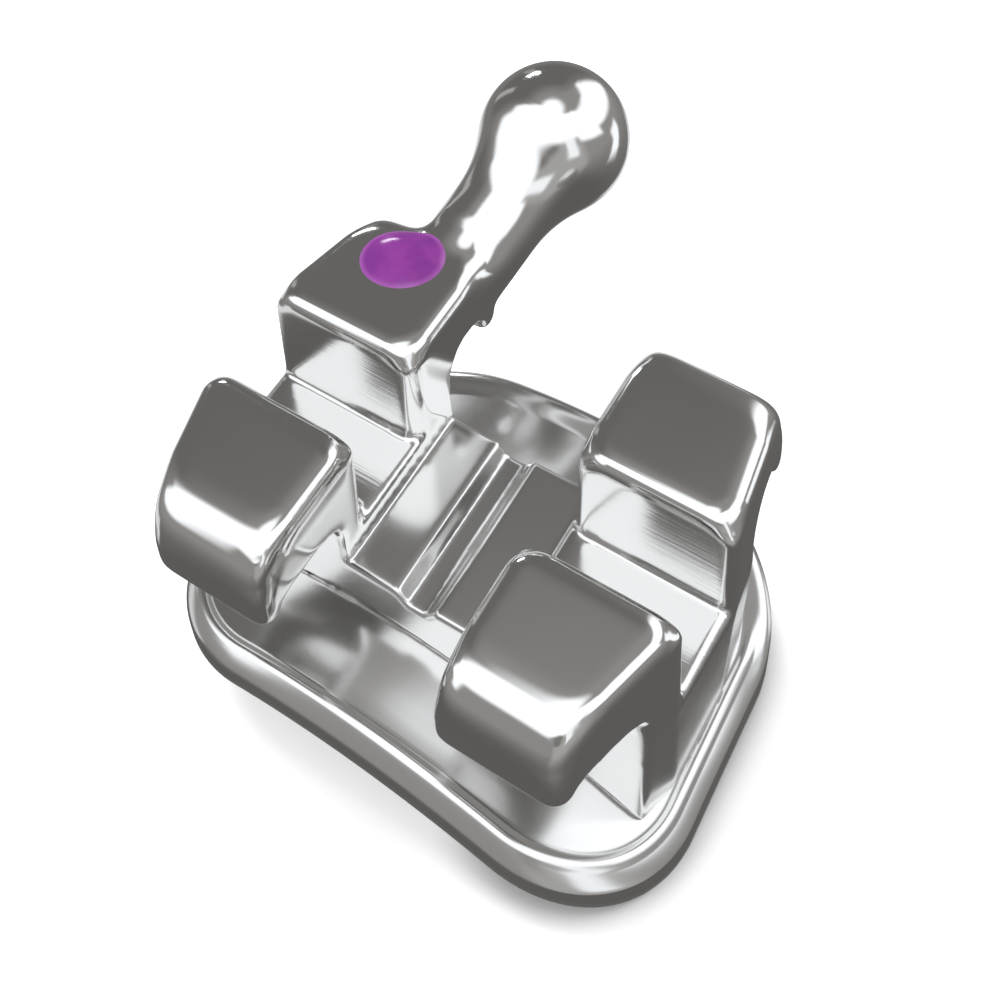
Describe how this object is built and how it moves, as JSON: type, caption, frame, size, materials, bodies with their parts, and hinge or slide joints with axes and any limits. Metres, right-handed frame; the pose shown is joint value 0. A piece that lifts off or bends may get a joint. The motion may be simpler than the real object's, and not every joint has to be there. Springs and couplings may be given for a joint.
{
  "type": "orthodontic bracket",
  "caption": "Metal tie-wing bracket with a square archwire slot, a ball hook, a curved bonding pad and an enamel marking dot.",
  "frame": {"origin": "on the pad's tooth side, straight below the centre of the archwire slot's floor", "axes": "+X along the archwire slot towards the distal side, +Y towards the gum, where the hook is, +Z outwards from the tooth"},
  "size_m": [0.0035, 0.004, 0.0024],
  "materials": {
    "polished_steel": "mirror polished cast stainless steel",
    "pad_steel": "polished stainless steel, a little softer than the body",
    "purple_enamel": "glossy purple enamel"
  },
  "bodies": {
    "root": {"bracket_body": "polished_steel", "base_pad": "pad_steel", "id_dot": "purple_enamel"}
  },
  "joints": []
}
